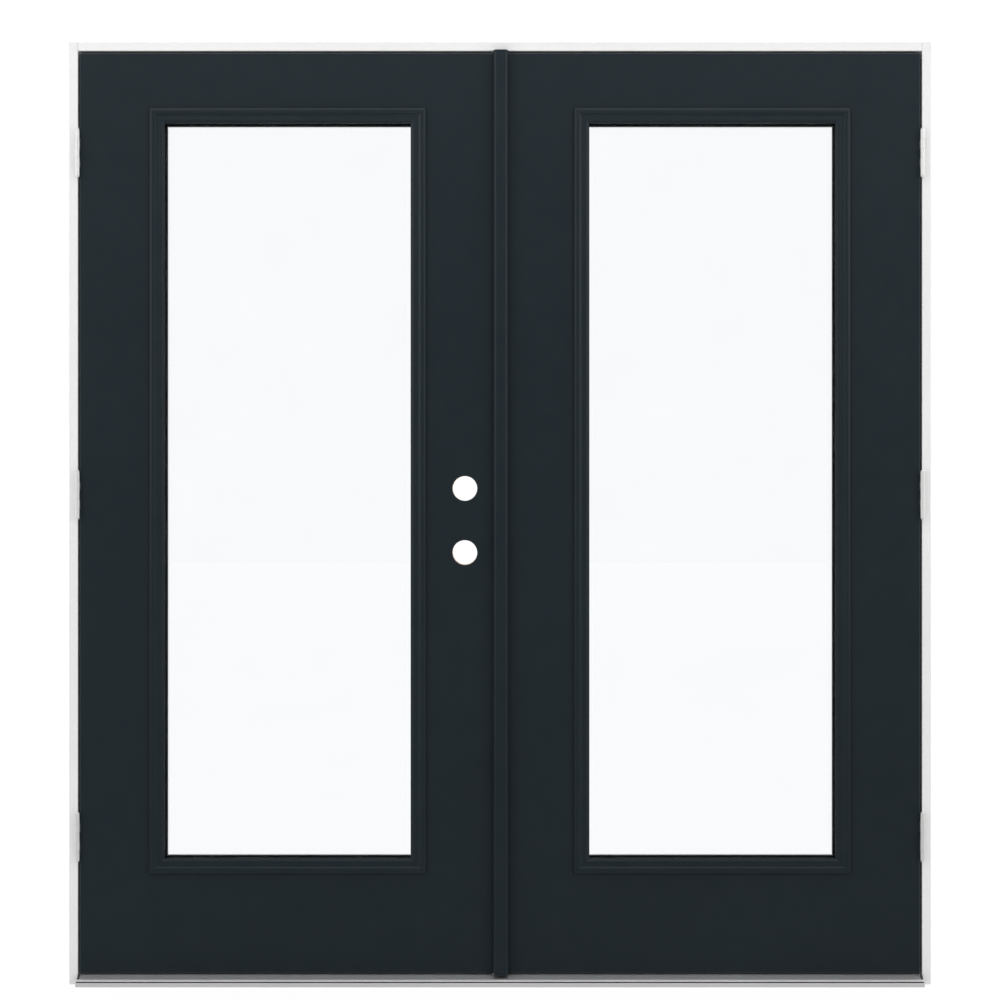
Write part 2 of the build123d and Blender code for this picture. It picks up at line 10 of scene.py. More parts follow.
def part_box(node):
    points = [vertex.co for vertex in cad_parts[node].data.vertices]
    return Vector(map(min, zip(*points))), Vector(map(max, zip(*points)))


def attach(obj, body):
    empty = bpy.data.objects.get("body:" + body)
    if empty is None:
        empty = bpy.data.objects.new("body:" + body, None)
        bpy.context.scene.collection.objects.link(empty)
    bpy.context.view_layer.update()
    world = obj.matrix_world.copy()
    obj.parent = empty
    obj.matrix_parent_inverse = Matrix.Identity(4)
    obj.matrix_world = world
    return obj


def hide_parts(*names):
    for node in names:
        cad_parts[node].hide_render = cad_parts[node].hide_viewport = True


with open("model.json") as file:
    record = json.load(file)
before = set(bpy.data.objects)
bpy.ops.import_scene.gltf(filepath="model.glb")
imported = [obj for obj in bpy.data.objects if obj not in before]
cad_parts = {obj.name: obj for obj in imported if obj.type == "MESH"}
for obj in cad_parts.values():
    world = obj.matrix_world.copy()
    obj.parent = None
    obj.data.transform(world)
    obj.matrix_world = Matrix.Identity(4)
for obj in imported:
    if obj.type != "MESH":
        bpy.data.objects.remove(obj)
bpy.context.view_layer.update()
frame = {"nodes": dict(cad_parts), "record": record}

# Outswing pair of french doors: finishes and fine forms over the fixed frame.
# Metres, x to the right seen from outside, y into the building, z up.

MM = 0.001
weld_distance = 1e-6
node_weld_distance = 2e-6
flat_angle = 0.5
cut_margin = 1.0 * MM

record = frame["record"]
bodies = record["behaviour"]["bodies"]
body_of_node = {node: body for body, nodes in bodies.items() for node in nodes}
slot_of_node = {sub["node"]: sub["material_slot"] for sub in record["subparts"]}

# Planes read from the frame
skin_low, skin_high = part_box("passive_exterior_skin")
face_y = skin_low.y
leaf_edge = skin_high.x
inner_face_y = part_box("passive_interior_skin")[1].y
middle_y = (face_y + inner_face_y) / 2
rabbet_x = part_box("head_jamb")[1].x
deck_low, deck_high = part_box("sill_deck")

# Lite moulding: how far in from its outer edge, and how far out of the leaf's face
lite_low, lite_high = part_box("passive_outer_lite_frame")
outer_edge = 1.4 * MM
crown = (9.2 * MM, 8.0 * MM)
crown_flat = 1.0 * MM
valley = (19.6 * MM, 4.9 * MM)
inner_crown = (26.4 * MM, 5.3 * MM)
throat = (33.9 * MM, 2.7 * MM)
lip = (34.2 * MM, 1.4 * MM)
sight_inset = 34.5 * MM
glass_depth = 10.6 * MM
leg = (18.0 * MM, 20.2 * MM)
leg_depth = 22.0 * MM
moulding_steps = 7

# Screw plugs of the inner lite frames
plug_radius = 4.0 * MM
plug_sides = 24
plug_ease = 0.4 * MM
plug_proud = 0.7 * MM
plug_inset = 21.5 * MM
plug_end = 62.0 * MM
plugs_across = 3
plugs_up = 8

# Skins' outer edges, how far the skins lap the hinge plates, and the slopes of the rim faces painted
# lighter as a highlight
skin_roll = 0.5 * MM
skin_ease = 0.5 * MM
plate_lap = 1.0 * MM
highlight_rim_slopes = (0.2, 0.95)

# Hinges; neck_back and neck_lean are shares of the knuckle's radius
hinge_levels = ("bottom", "middle", "top")
axis_x = rabbet_x - 0.2 * MM
axis_y = face_y - 7.0 * MM
knuckle_radius = 5.0 * MM
knuckle_count = 5
knuckle_gap = 0.3 * MM
knuckle_ease = 0.25 * MM
pin_radius = 3.0 * MM
pin_play = 0.15 * MM
pin_sides = 32
tip_radius = 4.4 * MM
tip_height = 2.5 * MM
tip_sides = 40
tip_ease = 1.0 * MM
plate_thickness = 2.2 * MM
plate_ease = 0.35 * MM
plate_set_in = 2.0 * MM
leaf_joggle = -2.5 * MM
neck_back = 0.62
neck_lean = 0.3
neck_lap = 1.0 * MM
screw_rows = (-38 * MM, -13 * MM, 13 * MM, 38 * MM)
screw_columns = (9.5 * MM, 21.5 * MM)
screw_head = 4.1 * MM
screw_shank = 2.0 * MM
screw_head_height = 1.8 * MM
screw_length = 16 * MM
screw_sides = 24
screw_ease = 0.15 * MM
screw_offset = 0.02 * MM
cross_half = (2.3 * MM, 0.42 * MM)
cross_depth = 1.3 * MM
cross_taper = 0.45

# Astragal nose
nose_middle = 1.8 * MM
nose_half = 16.3 * MM
nose_out = 17.5 * MM
nose_round = 8.0 * MM
nose_rim = 2.2 * MM
nose_steps = 14
seal_reach = 2.25 * MM
seal_root = 0.3 * MM
kerf_half = 1.0 * MM
seal_steps = 12
cover_reach = 1.8 * MM
cover_set = 0.9 * MM
cover_thickness = 1.0 * MM

# Filler between the head and the jambs
joint_width = 1.0 * MM
joint_height = 19.0 * MM
joint_set = 0.4 * MM
joint_depth = 3.0 * MM
joint_ease = 0.1 * MM

# Sill deck section, from its front lip to the grip lines under the leaves
deck_wall = 1.8 * MM
line_groove = (9.5 * MM, 11.9 * MM)
line_groove_depth = 6.5 * MM
groove_wall = 1.5 * MM
groove_mouth = 0.3 * MM
groove_margin = 0.1 * MM
lip_depth = 11.0 * MM
lip_height = 14.6 * MM
lip_step = 1.3 * MM
lip_round = 1.0 * MM
lip_steps = 5
slope_end = 2.0 * MM
tread_start = 6.0 * MM
tread_pitch = 4.6 * MM
tread_width = 1.5 * MM
tread_depth = 0.35 * MM
treads = 10
bolt_way_x = 1.0 * MM
bolt_way_radius = 6.3 * MM
deck_ease = 0.15 * MM
upward = 0.5

# Soft pads at the deck's two ends
pad_width = 3.4 * MM
pad_front_height = 2.0 * MM
pad_back_height = 4.4 * MM
pad_set = 1.0 * MM
pad_gap = 0.1 * MM
pad_ease = 0.5 * MM

# Strike plate, frame and bolts
strike_ease = 0.2 * MM
strike_screw_inset = 8.5 * MM
jamb_ease = 0.9 * MM
sill_ease = 0.3 * MM
bolt_ease = 0.5 * MM

# Stage, lamps (name, place, aim, size, power) and camera
floor_size = 60
floor_glow = 0.93
backdrop_strength = 1.025
lamps = (
    ("left_soft_lamp", (-4.2, -3.4, 2.5), (0, 0, 1.1), (2.6, 2.6), 58),
    ("right_soft_lamp", (4.2, -3.4, 2.5), (0, 0, 1.1), (2.6, 2.6), 58),
    ("front_soft_lamp", (0, -4.6, 5.4), (0, 0, 1.2), (6.0, 3.0), 98),
    ("overhead_soft_lamp", (0, -0.8, 4.4), (0, -0.1, 1.0), (4.5, 0.8), 26),
)
camera_place = (0, -4.5445, 1.0528)
camera_lens = 74.55
sensor_width = 36


# Modelling helpers

def fresh():
    """Object mode with nothing selected."""
    if bpy.context.mode != "OBJECT":
        bpy.ops.object.mode_set(mode="OBJECT")
    bpy.ops.object.select_all(action="DESELECT")


def named(name):
    piece = bpy.context.object
    piece.name = name
    piece.data.name = name
    return piece


def make_active(piece):
    fresh()
    piece.select_set(True)
    bpy.context.view_layer.objects.active = piece


@contextmanager
def editing(piece, kind="FACE"):
    """Edit mode with nothing selected; hands out the mesh to pick from."""
    make_active(piece)
    bpy.ops.object.mode_set(mode="EDIT")
    bpy.ops.mesh.select_mode(type=kind)
    bpy.ops.mesh.select_all(action="DESELECT")
    yield bmesh.from_edit_mesh(piece.data)
    bpy.ops.object.mode_set(mode="OBJECT")


def pick(elements, test):
    for element in elements:
        if test(element):
            element.select_set(True)


def apply_place(piece):
    make_active(piece)
    bpy.ops.object.transform_apply(location=True, rotation=True, scale=True)


def box_piece(name, low, high):
    fresh()
    low, high = Vector(low), Vector(high)
    bpy.ops.mesh.primitive_cube_add(size=1, location=(low + high) / 2, scale=high - low)
    piece = named(name)
    apply_place(piece)
    return piece


def bar_z(name, x, y, low, high, radius, sides=48):
    fresh()
    bpy.ops.mesh.primitive_cylinder_add(
        vertices=sides, radius=radius, depth=high - low, location=(x, y, (low + high) / 2)
    )
    piece = named(name)
    apply_place(piece)
    return piece


def ease_edges(piece, width, segments=2, angle=30):
    """Rounds every edge sharper than the angle."""
    make_active(piece)
    bevel = piece.modifiers.new("eased", "BEVEL")
    bevel.width = width
    bevel.segments = segments
    bevel.limit_method = "ANGLE"
    bevel.angle_limit = radians(angle)
    bevel.use_clamp_overlap = True
    bpy.ops.object.modifier_apply(modifier=bevel.name)
    return piece


def cut(piece, tool, operation="DIFFERENCE"):
    make_active(piece)
    boolean = piece.modifiers.new("cut", "BOOLEAN")
    boolean.operation = operation
    boolean.solver = "EXACT"
    boolean.object = tool
    bpy.ops.object.modifier_apply(modifier=boolean.name)
    bpy.data.objects.remove(tool)
    return piece


def join(pieces, name):
    fresh()
    for piece in pieces:
        piece.select_set(True)
    bpy.context.view_layer.objects.active = pieces[0]
    if len(pieces) > 1:
        bpy.ops.object.join()
    return named(name)


def copy_at(piece, name, offset=(0, 0, 0), turn=None):
    """A copy with its own mesh, moved in its mesh."""
    twin = piece.copy()
    twin.data = piece.data.copy()
    twin.name = name
    twin.data.name = name
    bpy.context.scene.collection.objects.link(twin)
    if turn is not None:
        twin.data.transform(turn)
    twin.data.transform(Matrix.Translation(Vector(offset)))
    return twin


def face_outwards(piece):
    with editing(piece):
        bpy.ops.mesh.select_all(action="SELECT")
        bpy.ops.mesh.remove_doubles(threshold=weld_distance)
        bpy.ops.mesh.normals_make_consistent(inside=False)


def mirrored(piece, name, plane="X"):
    """The other side's copy: mirrored across the unit, or through a leaf's thickness."""
    twin = copy_at(piece, name)
    if plane == "X":
        twin.data.transform(Matrix.Diagonal((-1, 1, 1, 1)))
    else:
        back = Matrix.Translation((0, 2 * middle_y, 0))
        twin.data.transform(back @ Matrix.Diagonal((1, -1, 1, 1)))
    face_outwards(twin)
    return twin


def draw_line(name, points):
    """A chain of edges drawn corner by corner; stays in edit mode."""
    fresh()
    bpy.ops.mesh.primitive_plane_add(size=MM, location=points[0])
    piece = named(name)
    apply_place(piece)
    bpy.ops.object.mode_set(mode="EDIT")
    bpy.ops.mesh.select_mode(type="VERT")
    bpy.ops.mesh.select_all(action="SELECT")
    bpy.ops.mesh.merge(type="CENTER")
    for last, point in zip(points, points[1:]):
        step = Vector(point) - Vector(last)
        bpy.ops.mesh.extrude_region_move(TRANSFORM_OT_translate={"value": step})
    return piece


def extruded(name, outline, along):
    """A closed outline filled and drawn out along a vector."""
    piece = draw_line(name, outline)
    bpy.ops.mesh.select_all(action="SELECT")
    bpy.ops.mesh.edge_face_add()
    bpy.ops.mesh.extrude_region_move(TRANSFORM_OT_translate={"value": Vector(along)})
    bpy.ops.mesh.select_all(action="SELECT")
    bpy.ops.mesh.normals_make_consistent(inside=False)
    bpy.ops.object.mode_set(mode="OBJECT")
    return piece


def mitred_ring(name, section, low, high):
    """A closed section of (inward, outward) points run round a rectangle with mitred corners.

    It is drawn on one corner's diagonal, spun round the middle in four steps, and stretched to size."""
    middle = Vector(((low.x + high.x) / 2, face_y, (low.z + high.z) / 2))
    half = min(high.x - low.x, high.z - low.z) / 2
    points = [
        middle + Vector((-half + inward, -outward, -half + inward)) for inward, outward in section
    ]
    piece = draw_line(name, points + points[:1])
    bpy.ops.mesh.select_all(action="SELECT")
    bpy.ops.mesh.remove_doubles(threshold=weld_distance)
    bpy.ops.mesh.spin(steps=4, angle=2 * pi, center=middle, axis=(0, 1, 0))
    bpy.ops.object.mode_set(mode="OBJECT")
    face_outwards(piece)
    stretch = Vector(((high.x - low.x) / 2 - half, 0, (high.z - low.z) / 2 - half))
    for axis in (0, 2):
        for side in (1, -1):
            with editing(piece, "VERT") as mesh:
                pick(mesh.verts, lambda v: (v.co[axis] - middle[axis]) * side > 0)
                step = [0, 0, 0]
                step[axis] = stretch[axis] * side
                bpy.ops.transform.translate(value=step)
    return piece


def swell(start, end, steps):
    """Points between two turning points of a moulding, flat at both ends."""
    for index in range(1, steps + 1):
        share = index / steps
        rise = (1 - cos(pi * share)) / 2
        yield (start[0] + (end[0] - start[0]) * share, start[1] + (end[1] - start[1]) * rise)


def quarter(start, end, steps, late):
    """Points of a quarter round from start to end; late leaves start along the second axis."""
    for index in range(1, steps + 1):
        angle = pi / 2 * index / steps
        first, second = sin(angle), 1 - cos(angle)
        if late:
            first, second = 1 - cos(angle), sin(angle)
        yield (start[0] + (end[0] - start[0]) * first, start[1] + (end[1] - start[1]) * second)


# Shader groups and finishes

def group_nodes(name, inputs, outputs):
    """An empty shader group with a Vector input and named values."""
    tree = bpy.data.node_groups.new(name, "ShaderNodeTree")
    tree.interface.new_socket("Vector", in_out="INPUT", socket_type="NodeSocketVector")
    for label, value in inputs:
        socket = tree.interface.new_socket(label, in_out="INPUT", socket_type="NodeSocketFloat")
        socket.default_value = value
    for label in outputs:
        tree.interface.new_socket(label, in_out="OUTPUT", socket_type="NodeSocketFloat")
    return tree, tree.nodes.new("NodeGroupInput"), tree.nodes.new("NodeGroupOutput")


def add_node(tree, kind, values=None, links=None, **settings):
    """A node with its settings, its plain socket values and its incoming links."""
    node = tree.nodes.new(kind)
    for key, value in settings.items():
        setattr(node, key, value)
    for key, value in (values or {}).items():
        node.inputs[key].default_value = value
    for key, source in (links or {}).items():
        tree.links.new(source, node.inputs[key])
    return node


def feed(tree, socket, source):
    """A number or an output into a socket."""
    if isinstance(source, (int, float)):
        socket.default_value = source
    else:
        tree.links.new(source, socket)


def math_node(tree, operation, first, second):
    node = add_node(tree, "ShaderNodeMath", operation=operation)
    feed(tree, node.inputs[0], first)
    feed(tree, node.inputs[1], second)
    return node.outputs[0]


def weighed_sum(tree, first, first_weight, second, second_weight):
    """Two values added, each times its own weight."""
    first = math_node(tree, "MULTIPLY", first, first_weight)
    second = math_node(tree, "MULTIPLY", second, second_weight)
    return math_node(tree, "ADD", first, second)


def noise(tree, vector, scale, detail=3.0, roughness=0.5):
    values = {"Detail": detail, "Roughness": roughness}
    node = add_node(tree, "ShaderNodeTexNoise", values, {"Vector": vector})
    feed(tree, node.inputs["Scale"], scale)
    return node.outputs["Fac"]


def sprayed_coat():
    """Sprayed paint: a fine peel over broad patches of tone."""
    tree, inputs, outputs = group_nodes(
        "sprayed_coat", [("Peel", 420.0), ("Patch", 3.0)], ["Tone", "Height", "Dull"]
    )
    vector = inputs.outputs["Vector"]
    patch = noise(tree, vector, inputs.outputs["Patch"], detail=1.0)
    cloud = noise(tree, vector, 26.0, detail=2.0, roughness=0.6)
    peel = noise(tree, vector, inputs.outputs["Peel"], detail=1.0)
    tree.links.new(weighed_sum(tree, patch, 0.65, cloud, 0.35), outputs.inputs["Tone"])
    tree.links.new(peel, outputs.inputs["Height"])
    tree.links.new(cloud, outputs.inputs["Dull"])
    return tree


def drawn_lines():
    """Fine lines left along one direction by drawing, brushing or planing."""
    tree, inputs, outputs = group_nodes(
        "drawn_lines", [("Along", 2.0), ("Across", 900.0), ("Turn", 0.0)], ["Line", "Broad"]
    )
    vector = inputs.outputs["Vector"]
    split = add_node(tree, "ShaderNodeSeparateXYZ", links={"Vector": vector})
    x, y, z = split.outputs
    turn = inputs.outputs["Turn"]
    keep = math_node(tree, "SUBTRACT", 1.0, turn)
    along = weighed_sum(tree, x, keep, z, turn)
    across = weighed_sum(tree, z, keep, x, turn)
    slow = math_node(tree, "MULTIPLY", along, inputs.outputs["Along"])
    fast = math_node(tree, "MULTIPLY", across, inputs.outputs["Across"])
    deep = math_node(tree, "MULTIPLY", y, inputs.outputs["Across"])
    stretched = add_node(tree, "ShaderNodeCombineXYZ", links={"X": slow, "Y": deep, "Z": fast})
    fine = noise(tree, stretched.outputs[0], 1.0, roughness=0.6)
    wide = noise(tree, stretched.outputs[0], 0.12, detail=2.0)
    tree.links.new(fine, outputs.inputs["Line"])
    tree.links.new(wide, outputs.inputs["Broad"])
    return tree


coat_group = sprayed_coat()
line_group = drawn_lines()


def new_finish(name):
    material = bpy.data.materials.new(name)
    material.use_nodes = True
    tree = material.node_tree
    place = tree.nodes.new("ShaderNodeTexCoord")
    return material, tree, tree.nodes["Principled BSDF"], place.outputs["Object"]


def placed_group(tree, group, vector, **values):
    node = add_node(tree, "ShaderNodeGroup", node_tree=group)
    tree.links.new(vector, node.inputs["Vector"])
    for key, value in values.items():
        node.inputs[key].default_value = value
    return node.outputs


def blend_colours(tree, share, first, second):
    node = add_node(tree, "ShaderNodeMix", data_type="RGBA")
    colour_inputs = [s for s in node.inputs if s.type == "RGBA"]
    colour_inputs[0].default_value = (*first, 1)
    colour_inputs[1].default_value = (*second, 1)
    tree.links.new(share, node.inputs["Factor"])
    return [s for s in node.outputs if s.type == "RGBA"][0]


def ranged(tree, value, low, high, from_low=0.3, from_high=0.7):
    """A value moved from one range to another."""
    values = {"From Min": from_low, "From Max": from_high, "To Min": low, "To Max": high}
    return add_node(tree, "ShaderNodeMapRange", values, {"Value": value}).outputs["Result"]


def bump(tree, shader, height, distance):
    node = add_node(tree, "ShaderNodeBump", {"Distance": distance}, {"Height": height})
    tree.links.new(node.outputs["Normal"], shader.inputs["Normal"])


def paint_finish(name, dark, light, gloss, peel=420.0, depth=0.03 * MM, shine=0.5):
    """Factory paint: two close tones, a fine peel and uneven gloss."""
    material, tree, shader, place = new_finish(name)
    coat = placed_group(tree, coat_group, place, Peel=peel)
    share = ranged(tree, coat["Tone"], 0.0, 1.0)
    tree.links.new(blend_colours(tree, share, dark, light), shader.inputs["Base Color"])
    tree.links.new(ranged(tree, coat["Dull"], *gloss), shader.inputs["Roughness"])
    shader.inputs["Specular IOR Level"].default_value = shine
    bump(tree, shader, coat["Height"], depth)
    return material


def metal_finish(name, dark, light, gloss, turn, along, across=900.0, depth=0.02 * MM, metal=1.0):
    """Bare or plated metal with fine drawn lines."""
    material, tree, shader, place = new_finish(name)
    lines = placed_group(tree, line_group, place, Turn=turn, Along=along, Across=across)
    coat = placed_group(tree, coat_group, place, Peel=150.0)
    patches = math_node(tree, "MULTIPLY", lines["Broad"], coat["Tone"])
    share = ranged(tree, patches, 0.0, 1.0, from_low=0.12, from_high=0.42)
    tree.links.new(blend_colours(tree, share, dark, light), shader.inputs["Base Color"])
    shader.inputs["Metallic"].default_value = metal
    tree.links.new(ranged(tree, lines["Line"], *gloss), shader.inputs["Roughness"])
    bump(tree, shader, lines["Line"], depth)
    return material


def primer_finish():
    """White primer over planed wood: the grain and the roller show faintly."""
    material, tree, shader, place = new_finish("white_primer")
    grain = placed_group(tree, line_group, place, Turn=1.0, Along=3.0, Across=240.0)
    coat = placed_group(tree, coat_group, place, Peel=260.0, Patch=2.0)
    share = ranged(tree, coat["Tone"], 0.0, 1.0)
    colour = blend_colours(tree, share, (0.775, 0.775, 0.77), (0.815, 0.815, 0.812))
    tree.links.new(colour, shader.inputs["Base Color"])
    tree.links.new(ranged(tree, coat["Dull"], 0.48, 0.62), shader.inputs["Roughness"])
    height = math_node(tree, "ADD", math_node(tree, "MULTIPLY", grain["Line"], 0.6), coat["Height"])
    bump(tree, shader, height, 0.012 * MM)
    return material


def wood_finish(name, early, late):
    """Raw planed softwood, its grain along the piece."""
    material, tree, shader, place = new_finish(name)
    grain = placed_group(tree, line_group, place, Turn=1.0, Along=2.2, Across=190.0)
    share = ranged(tree, weighed_sum(tree, grain["Broad"], 0.7, grain["Line"], 0.3), 0, 1)
    tree.links.new(blend_colours(tree, share, early, late), shader.inputs["Base Color"])
    tree.links.new(ranged(tree, grain["Line"], 0.55, 0.75), shader.inputs["Roughness"])
    bump(tree, shader, grain["Line"], 0.12 * MM)
    return material


def foam_finish(name, dark, light, scale, depth):
    """Cells of a rigid core or the skin of a soft bulb."""
    material, tree, shader, place = new_finish(name)
    cells = add_node(tree, "ShaderNodeTexVoronoi", {"Scale": scale}, {"Vector": place})
    cloud = noise(tree, place, 30.0)
    colour = blend_colours(tree, ranged(tree, cloud, 0, 1), dark, light)
    tree.links.new(colour, shader.inputs["Base Color"])
    tree.links.new(ranged(tree, cloud, 0.7, 0.9), shader.inputs["Roughness"])
    bump(tree, shader, cells.outputs["Distance"], depth)
    return material


def glass_finish():
    """Clear float glass that lets the lamps' light through."""
    material, tree, shader, place = new_finish("clear_float_glass")
    film = noise(tree, place, 7.0)
    share = ranged(tree, film, 0, 1)
    tint = blend_colours(tree, share, (0.975, 0.979, 0.988), (0.980, 0.984, 0.991))
    tree.links.new(tint, shader.inputs["Base Color"])
    tree.links.new(ranged(tree, film, 0.0, 0.012), shader.inputs["Roughness"])
    shader.inputs["Transmission Weight"].default_value = 1.0
    shader.inputs["IOR"].default_value = 1.5
    path = tree.nodes.new("ShaderNodeLightPath")
    clear = add_node(tree, "ShaderNodeBsdfTransparent", {"Color": (0.94, 0.95, 0.96, 1)})
    mix = add_node(tree, "ShaderNodeMixShader")
    tree.links.new(path.outputs["Is Shadow Ray"], mix.inputs[0])
    tree.links.new(shader.outputs[0], mix.inputs[1])
    tree.links.new(clear.outputs[0], mix.inputs[2])
    tree.links.new(mix.outputs[0], tree.nodes["Material Output"].inputs["Surface"])
    return material


finishes = {
    "slate_paint": paint_finish(
        "slate_factory_paint", (0.0124, 0.0194, 0.0246), (0.0138, 0.0214, 0.0268), (0.4, 0.48),
        shine=0.17,
    ),
    "slate_moulding": paint_finish(
        "slate_moulding_paint", (0.0122, 0.0192, 0.0244), (0.0136, 0.0212, 0.0266), (0.36, 0.44),
        peel=520.0, shine=0.22,
    ),
    "primed_white": primer_finish(),
    "mill_aluminium": metal_finish(
        "mill_aluminium", (0.78, 0.782, 0.785), (0.84, 0.842, 0.845), (0.4, 0.5),
        turn=0.0, along=1.5, across=1400.0, depth=0.008 * MM, metal=0.45,
    ),
    "satin_nickel": metal_finish(
        "satin_nickel", (0.82, 0.815, 0.81), (0.86, 0.855, 0.85), (0.34, 0.38),
        turn=1.0, along=8.0, depth=0.003 * MM, metal=0.4,
    ),
    "screw_steel": metal_finish(
        "zinc_plated_steel", (0.45, 0.46, 0.47), (0.6, 0.6, 0.6), (0.28, 0.42), turn=0.0, along=60.0
    ),
    "sill_stop_grey": paint_finish(
        "grey_composite", (0.34, 0.34, 0.33), (0.40, 0.40, 0.39), (0.55, 0.7),
        peel=700.0, depth=0.08 * MM,
    ),
    "composite_rail": paint_finish(
        "fibre_composite", (0.17, 0.145, 0.12), (0.25, 0.215, 0.18), (0.7, 0.85),
        peel=900.0, depth=0.12 * MM,
    ),
    "stile_edge": paint_finish(
        "sealed_stile_edge", (0.0120, 0.0150, 0.0175), (0.0160, 0.0200, 0.0230), (0.5, 0.62),
        peel=300.0, shine=0.2,
    ),
    "stile_wood": wood_finish("laminated_softwood", (0.60, 0.43, 0.25), (0.40, 0.25, 0.12)),
    "foam": foam_finish("rigid_foam", (0.62, 0.55, 0.36), (0.74, 0.67, 0.47), 900.0, 0.3 * MM),
    "clear_glass": glass_finish(),
    "spacer": paint_finish(
        "black_spacer", (0.012, 0.012, 0.013), (0.022, 0.022, 0.024), (0.5, 0.65), peel=600.0
    ),
    "dark_vinyl": paint_finish(
        "dark_vinyl", (0.014, 0.014, 0.015), (0.024, 0.024, 0.026), (0.42, 0.55), peel=700.0
    ),
    # A real glazing seal, made near black and matte to paint the shade at the moulding's throat
    "glazing_painted_shade": paint_finish(
        "black_glazing_seal_painted_shade", (0.0045, 0.0045, 0.005), (0.0075, 0.0075, 0.008), (0.9, 1.0),
        peel=700.0, shine=0.04,
    ),
    "slate_vinyl": paint_finish(
        "slate_vinyl", (0.0150, 0.0225, 0.0280), (0.0170, 0.0250, 0.0310), (0.45, 0.55),
        peel=700.0, shine=0.3,
    ),
    # Painted highlight: a lighter, glossier slate for the skins' eased rim faces
    "slate_painted_highlight": paint_finish(
        "slate_edges_painted_highlight", (0.042, 0.056, 0.066), (0.049, 0.064, 0.075), (0.3, 0.4), peel=520.0
    ),
    # Painted shade: a darker aluminium for the deck's slope under the leaves; only its higher metallic
    # is real
    "deck_slope_painted_shade": metal_finish(
        "aluminium_slope_painted_shade", (0.52, 0.525, 0.53), (0.60, 0.605, 0.61), (0.3, 0.42),
        turn=0.0, along=1.5, across=1400.0, depth=0.008 * MM, metal=0.72,
    ),
    "weatherstrip_foam": foam_finish(
        "bulb_foam", (0.02, 0.02, 0.021), (0.035, 0.035, 0.037), 500.0, 0.1 * MM
    ),
}


# Finishing and placing pieces

def smooth(piece, angle=30):
    """Smooth shading that keeps broad faces flat beside their eased edges."""
    make_active(piece)
    bpy.ops.object.shade_smooth_by_angle(angle=radians(angle))
    weighted = piece.modifiers.new("weighted", "WEIGHTED_NORMAL")
    weighted.keep_sharp = True
    weighted.weight = 100
    bpy.ops.object.modifier_apply(modifier=weighted.name)


def place_piece(piece, body, slot, *nodes, finish=None):
    """Gives a piece its finish and its body, and hides the nodes that it stands for."""
    smooth(piece)
    piece.data.materials.clear()
    piece.data.materials.append(finishes[finish or slot])
    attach(piece, body)
    if nodes:
        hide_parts(*nodes)
    return piece


def second_finish(piece, finish, test):
    """A finish of their own for the faces that pass the test."""
    piece.data.materials.append(finishes[finish])
    last = len(piece.data.materials) - 1
    for face in piece.data.polygons:
        if test(face):
            face.material_index = last


def dress_nodes():
    """The finish of its slot for every node; stiles and rails are sealed in the leaf's colour."""
    for node, piece in frame["nodes"].items():
        sealed = node.endswith(("stile", "rail"))
        piece.data.materials.clear()
        piece.data.materials.append(finishes["stile_edge" if sealed else slot_of_node[node]])


def eased_copy(node, width):
    """The node's own form, welded, cleaned and eased along its edges."""
    piece = copy_at(frame["nodes"][node], f"{node}_eased")
    piece.parent = None
    for key in list(piece.keys()):
        del piece[key]
    with editing(piece):
        bpy.ops.mesh.select_all(action="SELECT")
        bpy.ops.mesh.remove_doubles(threshold=node_weld_distance)
        bpy.ops.mesh.dissolve_limited(angle_limit=radians(flat_angle), use_dissolve_boundaries=False)
    if width:
        ease_edges(piece, width)
    return piece


def stand_in(node, width):
    """The node's eased copy in its place."""
    place_piece(eased_copy(node, width), body_of_node[node], slot_of_node[node], node)


# Lite frames, their glazing seals and plugs

def moulding_section():
    """The lite frame's closed section, from its outer foot over both crowns to the glass and back."""
    crown_start = (crown[0] - crown_flat, crown[1])
    section = [(0, 0), (0, outer_edge)]
    section += quarter(section[-1], crown_start, moulding_steps, late=True)
    section += [crown]
    section += swell(crown, valley, moulding_steps)
    section += swell(valley, inner_crown, moulding_steps)
    section += swell(inner_crown, throat, moulding_steps)
    section += [lip, (leg[1], lip[1]), (leg[1], -leg_depth), (leg[0], -leg_depth), (leg[0], 0)]
    return section


def seal_section():
    """Glazing seal between the moulding's lip and the glass; its near-black matte finish also paints the
    shade in the throat.
    """
    return [lip, (sight_inset, -glass_depth), (leg[1], -glass_depth), (leg[1], lip[1])]


def screw_plugs(name, side_low, side_high):
    """Domed plugs round an inner lite frame, set in its valley."""
    plug = bar_z("plug", 0, 0, 0, plug_proud, plug_radius, plug_sides)
    ease_edges(plug, plug_ease, segments=3)
    plug.data.transform(Matrix.Rotation(-pi / 2, 4, "X"))
    y = inner_face_y + valley[1]
    x_ends = (side_low.x + plug_inset, side_high.x - plug_inset)
    z_ends = (side_low.z + plug_inset, side_high.z - plug_inset)
    x_span = x_ends[1] - x_ends[0] - 2 * plug_end
    z_span = z_ends[1] - z_ends[0] - 2 * plug_end
    places = []
    for z in z_ends:
        for index in range(plugs_across):
            places.append((x_ends[0] + plug_end + x_span * index / (plugs_across - 1), z))
    for x in x_ends:
        for index in range(plugs_up):
            places.append((x, z_ends[0] + plug_end + z_span * index / (plugs_up - 1)))
    copies = [copy_at(plug, "plug_copy", (x, y, z)) for x, z in places]
    bpy.data.objects.remove(plug)
    return join(copies, name)


